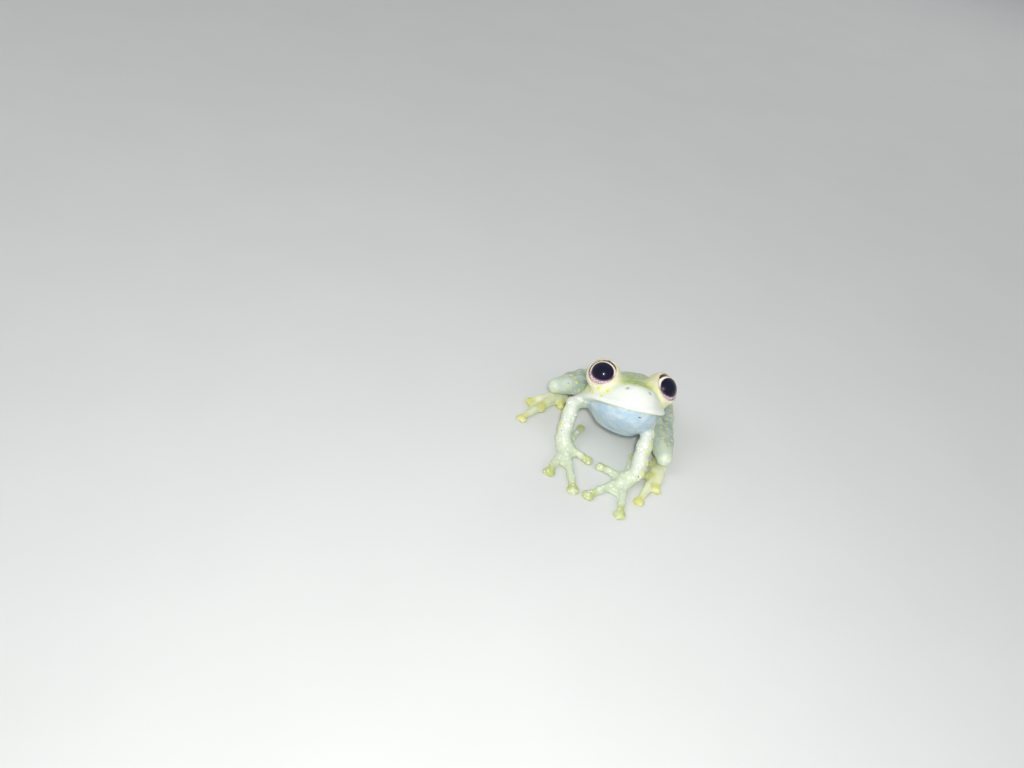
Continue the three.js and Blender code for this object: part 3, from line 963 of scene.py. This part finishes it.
def paint(p):
    """The colour of each vertex, and its marks: reach of dots, reach of specks, clearness and grain."""
    looks = {"head": head_look(p), "trunk": trunk_look(p)}
    for name, s in SIDES.items():
        looks[f"arm_{name}"] = arm_look(p, s)
        looks[f"hand_{name}"] = hand_look(p, s)
        looks[f"leg_{name}"] = leg_look(p, s)
        looks[f"foot_{name}"] = foot_look(p, s)
    shares = region_shares(p)

    def total(key):
        return np.clip(sum(shares[name] * look.get(key, 0.0) for name, look in looks.items()), 0, 1)

    colour = sum(shares[name][:, None] * look["colour"] for name, look in looks.items())
    dot_reach = marks_at(p, total("dots"), DOT_SPACING, DOT_RADIUS, DOT_SEED)
    speck_reach = marks_at(p, total("specks"), SPECK_SPACING, SPECK_RADIUS, SPECK_SEED)
    dash_reach = np.linalg.norm((to_head(p) - THROAT_MARK) / THROAT_MARK_SIZE, axis=1)
    marks = [dot_reach, np.minimum(speck_reach, dash_reach), total("clear"), total("grain")]
    return np.column_stack([colour, np.ones(len(p))]), np.column_stack(marks)


# Node helpers

class Nodes:
    """The nodes of one new material."""

    # Sockets of a colour mix: its factor, its two colours and its result
    MIX_SHARE, MIX_A, MIX_B, MIX_RESULT = 0, 6, 7, 2

    def __init__(self, name):
        self.material = bpy.data.materials.new(name)
        self.material.use_nodes = True
        self.tree = self.material.node_tree
        self.shader = self.tree.nodes["Principled BSDF"]

    def new(self, kind, inputs=None, **settings):
        node = self.tree.nodes.new(kind)
        for key, value in settings.items():
            setattr(node, key, value)
        for key, value in (inputs or {}).items():
            self.put(node, key, value)
        return node

    def put(self, node, key, value):
        """Sets an input to another node's output, to a colour or to a plain value."""
        if isinstance(value, bpy.types.NodeSocket):
            self.tree.links.new(value, node.inputs[key])
        elif isinstance(value, np.ndarray):
            node.inputs[key].default_value = (*value.tolist(), 1.0)
        else:
            node.inputs[key].default_value = value

    def finish(self, **values):
        """Sets inputs of the shader, with underscores for the spaces in their names."""
        for key, value in values.items():
            self.put(self.shader, key.replace("_", " "), value)
        return self.material

    def math(self, operation, *values):
        node = self.new("ShaderNodeMath", operation=operation, inputs=dict(enumerate(values)))
        return node.outputs[0]

    def length(self, a, b):
        """The length of a flat arrow with these two sides."""
        return self.math("SQRT", self.math("ADD", self.math("MULTIPLY", a, a), self.math("MULTIPLY", b, b)))

    def mix(self, share, a, b):
        sockets = {self.MIX_SHARE: share, self.MIX_A: a, self.MIX_B: b}
        return self.new("ShaderNodeMix", data_type="RGBA", inputs=sockets).outputs[self.MIX_RESULT]

    def ramp(self, value, start, full, to_start=0.0, to_full=1.0):
        """A soft step from one value to another."""
        inputs = dict(enumerate((value, start, full, to_start, to_full)))
        return self.new("ShaderNodeMapRange", interpolation_type="SMOOTHSTEP", inputs=inputs).outputs[0]

    def attribute(self, name):
        return self.new("ShaderNodeAttribute", attribute_name=name)

    def place(self):
        """Place on the object, in metres."""
        return self.new("ShaderNodeTexCoord").outputs["Object"]

    def noise(self, scale, detail, **inputs):
        inputs = {"Vector": self.place(), "Scale": scale, "Detail": detail, **inputs}
        return self.new("ShaderNodeTexNoise", inputs=inputs).outputs["Fac"]

    def cells(self, scale, **settings):
        inputs = {"Vector": self.place(), "Scale": scale, "Randomness": 1.0}
        return self.new("ShaderNodeTexVoronoi", inputs=inputs, **settings).outputs["Distance"]


def skin_material():
    n = Nodes("frog_skin")
    tint = n.attribute("tint").outputs["Color"]
    marks = n.attribute("marks")
    separate = n.new("ShaderNodeSeparateColor", inputs={"Color": marks.outputs["Color"]})
    dot_reach, speck_reach, clear = separate.outputs
    grain = marks.outputs["Alpha"]

    # Soft cloudiness of the flesh under the skin
    cloud = n.noise(CLOUD_SCALE, detail=3.0, Roughness=0.55)
    colour = n.mix(n.ramp(cloud, *CLOUD_STEP), tint, FLESH_LIGHT)

    # Pale grains in flocks under the skin, mostly of the arms and hands
    colour = n.mix(n.math("MULTIPLY", grain, GRAIN_SHADE), colour, FLESH_SHADE)
    flocks = n.math("MULTIPLY", n.ramp(n.noise(FLOCK_SCALE, detail=2.0), *FLOCK_STEP), grain)
    grains = n.math("MULTIPLY", n.ramp(n.cells(GRAIN_SCALE), *GRAIN_STEP), flocks)
    colour = n.mix(grains, colour, FLESH_LIGHT)

    # Small raised yellow dots with soft edges, and fewer, finer dark specks
    dot = n.ramp(dot_reach, *DOT_STEP)
    colour = n.mix(dot, colour, DOT)
    colour = n.mix(n.ramp(speck_reach, *SPECK_STEP), colour, SPECK)

    # Texture of the skin, with the dots standing up a little
    fine = n.noise(FINE_SCALE, detail=3.0)
    height = n.math("ADD", n.math("MULTIPLY", n.cells(PEBBLE_SCALE), PEBBLE_HEIGHT), fine)
    height = n.math("ADD", height, n.math("MULTIPLY", dot, DOT_HEIGHT))
    bump = n.new("ShaderNodeBump", inputs={"Height": height, **BUMP})
    return n.finish(
        Base_Color=colour,
        Normal=bump.outputs["Normal"],
        Roughness=n.ramp(fine, *ROUGHNESS_STEP),
        Subsurface_Weight=n.ramp(clear, *CLEARNESS_STEP),
        Subsurface_Radius=(0.9, 1.0, 0.75),
        Subsurface_Scale=0.0004,
        Coat_Weight=0.18,
        Coat_Roughness=0.16,
    )


def eye_material():
    """Iris and pupil, worked out from the eyeball's own axes: X ahead, Y across, Z up."""
    n = Nodes("frog_eye")
    axes = n.new("ShaderNodeSeparateXYZ", inputs={"Vector": n.place()})
    ahead, across, up = axes.outputs
    radius = EYE_RADIUS * MM
    risen = n.math("SUBTRACT", up, PUPIL_RISE * MM)
    ring = n.length(n.math("DIVIDE", across, PUPIL_WIDE * MM), n.math("DIVIDE", risen, PUPIL_HIGH * MM))
    out = n.math("DIVIDE", n.length(across, up), radius)
    upper = n.ramp(up, *(limit * radius for limit in UPPER_HALF))

    # Silvery pink iris with a net of purple veins, darker round the pupil and towards its rim
    colour = n.mix(n.ramp(n.noise(SMEAR_SCALE, detail=4.0), *SMEAR_STEP), IRIS_PINK, IRIS_PALE)
    veins = n.cells(VEIN_SCALE, feature="DISTANCE_TO_EDGE")
    colour = n.mix(n.ramp(veins, *VEIN_STEP), colour, IRIS_VEIN)
    colour = n.mix(n.ramp(ring, *INNER_SHADE), colour, IRIS_INNER)
    colour = n.mix(n.ramp(out, *IRIS_RIM), colour, IRIS_OUTER)

    # Bright cream line over the pupil, with a dark band outside it
    band = n.math("MULTIPLY", n.ramp(ring, *BAND_INNER), upper)
    colour = n.mix(band, colour, IRIS_BAND)
    line = n.math("MULTIPLY", n.ramp(ring, *LINE_INNER), n.ramp(ring, *LINE_OUTER))
    colour = n.mix(n.math("MULTIPLY", line, upper), colour, IRIS_LINE)

    colour = n.mix(n.ramp(ring, *PUPIL_EDGE), colour, PUPIL)
    colour = n.mix(n.math("GREATER_THAN", ahead, 0.0), EYE_BACK, colour)
    return n.finish(
        Base_Color=colour,
        Roughness=0.3,
        Specular_IOR_Level=0.15,
        Coat_Weight=0.8,
        Coat_Roughness=0.02,
        Coat_IOR=1.38,
    )


def floor_material():
    n = Nodes("pale_floor")
    cloud = n.noise(FLOOR_SCALE, detail=3.0)
    return n.finish(Base_Color=n.mix(cloud, FLOOR_DARK, FLOOR_LIGHT), Roughness=0.75)


# Objects

def link(name, data):
    obj = bpy.data.objects.new(name, data)
    bpy.context.scene.collection.objects.link(obj)
    return obj


def mesh_object(name, verts, faces, material):
    mesh = bpy.data.meshes.new(name)
    mesh.from_pydata([tuple(v) for v in verts], [], [tuple(int(i) for i in f) for f in faces])
    mesh.validate()
    mesh.update()
    mesh.shade_smooth()
    mesh.materials.append(material)
    return link(name, mesh)


def placed(place, axes):
    """A matrix that moves to a place of the pose frame and turns to these three axes."""
    turn = Matrix([[*row] for row in axes]).to_4x4()
    return Matrix.Translation(Vector((place + SHIFT) * MM)) @ turn


def make_skin():
    verts, faces = build_skin()
    tint, marks = paint(verts)
    obj = mesh_object("skin", (verts + SHIFT) * MM, faces, skin_material())
    for name, values in (("tint", tint), ("marks", marks)):
        attribute = obj.data.color_attributes.new(name, "FLOAT_COLOR", "POINT")
        attribute.data.foreach_set("color", values.ravel())
    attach(obj, "root")
    flesh = [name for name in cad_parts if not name.startswith("eye_")]
    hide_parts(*flesh)


def eyeball():
    """A ball with a slightly steeper cornea, in rings round its own X axis, which looks ahead."""
    verts = []
    for i in range(1, EYE_RINGS):
        polar = math.pi * i / EYE_RINGS
        radius = EYE_RADIUS * (1 + CORNEA_BULGE * math.exp(-(polar / CORNEA_WIDTH) ** 2)) - EYE_INSET
        for j in range(EYE_SIDES):
            angle = 2 * math.pi * j / EYE_SIDES
            across, up = math.sin(polar) * math.cos(angle), math.sin(polar) * math.sin(angle)
            verts.append((radius * math.cos(polar), radius * across, radius * up))
    front = len(verts)
    back = front + 1
    verts.append((EYE_RADIUS * (1 + CORNEA_BULGE), 0.0, 0.0))
    verts.append((-EYE_RADIUS, 0.0, 0.0))

    faces = []
    last = (EYE_RINGS - 2) * EYE_SIDES
    for j in range(EYE_SIDES):
        k = (j + 1) % EYE_SIDES
        faces.append((front, j, k))
        for start in range(0, last, EYE_SIDES):
            end = start + EYE_SIDES
            faces.append((start + j, end + j, end + k, start + k))
        faces.append((back, last + k, last + j))
    return np.array(verts) * MM, faces


def make_eye(name, side, material):
    obj = mesh_object(name, *eyeball(), material)
    look = HEAD @ turned(side, EYE_TURN, EYE_TILT)
    across = unit(np.cross(HEAD_UP, look))
    up = np.cross(look, across)
    obj.matrix_world = placed(eye_centre(side), np.stack([look, across, up], axis=1))
    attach(obj, "root")
    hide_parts("eye_left" if side > 0 else "eye_right")


def make_floor():
    half = FLOOR_HALF
    corners = [(-half, -half, 0), (half, -half, 0), (half, half, 0), (-half, half, 0)]
    mesh_object("floor", corners, [(0, 1, 2, 3)], floor_material())


# Camera and lights

def camera_place():
    """Place and axes of a camera that sees the point between the pupils on its pixel of the photograph."""
    focal = LENS_MM / SENSOR_MM * PICTURE[0]
    rise, azimuth, roll = (math.radians(a) for a in (CAMERA_RISE, CAMERA_AZIMUTH, CAMERA_ROLL))
    level_back = np.array([math.sin(azimuth), -math.cos(azimuth), 0.0])
    back = level_back * math.cos(rise) + np.array([0.0, 0.0, math.sin(rise)])
    place = np.array([0.0, 0.0, EYE_HEIGHT]) + back * focal / PIXELS_PER_MM
    right = unit(np.cross(-back, (0, 0, 1)))
    up = np.cross(right, -back)
    rolled_right = right * math.cos(roll) + up * math.sin(roll)
    rolled_up = up * math.cos(roll) - right * math.sin(roll)
    axes = Matrix([[*row] for row in np.stack([rolled_right, rolled_up, back], axis=1)])
    across, down = (at - size / 2 for at, size in zip(EYES_PIXEL, PICTURE))
    towards_eyes = Vector((across / focal, -down / focal, -1.0)).normalized()
    swing = Vector((0, 0, -1)).rotation_difference(towards_eyes).to_matrix()
    return place, axes @ swing.transposed()


def make_camera():
    data = bpy.data.cameras.new("camera")
    data.lens = LENS_MM
    data.sensor_width = SENSOR_MM
    data.clip_start, data.clip_end = CLIP
    obj = link("camera", data)
    obj.matrix_world = placed(*camera_place())
    bpy.context.scene.camera = obj


def area_light(name, place, size, power, mirrored=False):
    """A round light that faces the frog. Only a mirrored one shows in reflections."""
    data = bpy.data.lights.new(name, "AREA")
    data.shape = "DISK"
    data.size = size
    data.energy = power
    obj = link(name, data)
    obj.visible_glossy = mirrored
    obj.location = place
    obj.rotation_euler = (Vector(LIGHT_TARGET) - Vector(place)).to_track_quat("-Z", "Y").to_euler()


def make_lights():
    for light in LIGHTS:
        area_light(*light)
    camera, _ = camera_place()
    area_light("flash", (camera + SHIFT) * MM + FLASH_OFFSET, FLASH_SIZE, FLASH_POWER, mirrored=True)
    world = bpy.data.worlds.new("studio")
    world.use_nodes = True
    background = world.node_tree.nodes["Background"]
    background.inputs["Color"].default_value = WORLD_COLOUR
    background.inputs["Strength"].default_value = WORLD_STRENGTH
    bpy.context.scene.world = world


bpy.context.scene.view_settings.view_transform = "Standard"
make_camera()
make_lights()
make_floor()
make_skin()
eye_look = eye_material()
make_eye("eyeball_right", -1, eye_look)
make_eye("eyeball_left", 1, eye_look)
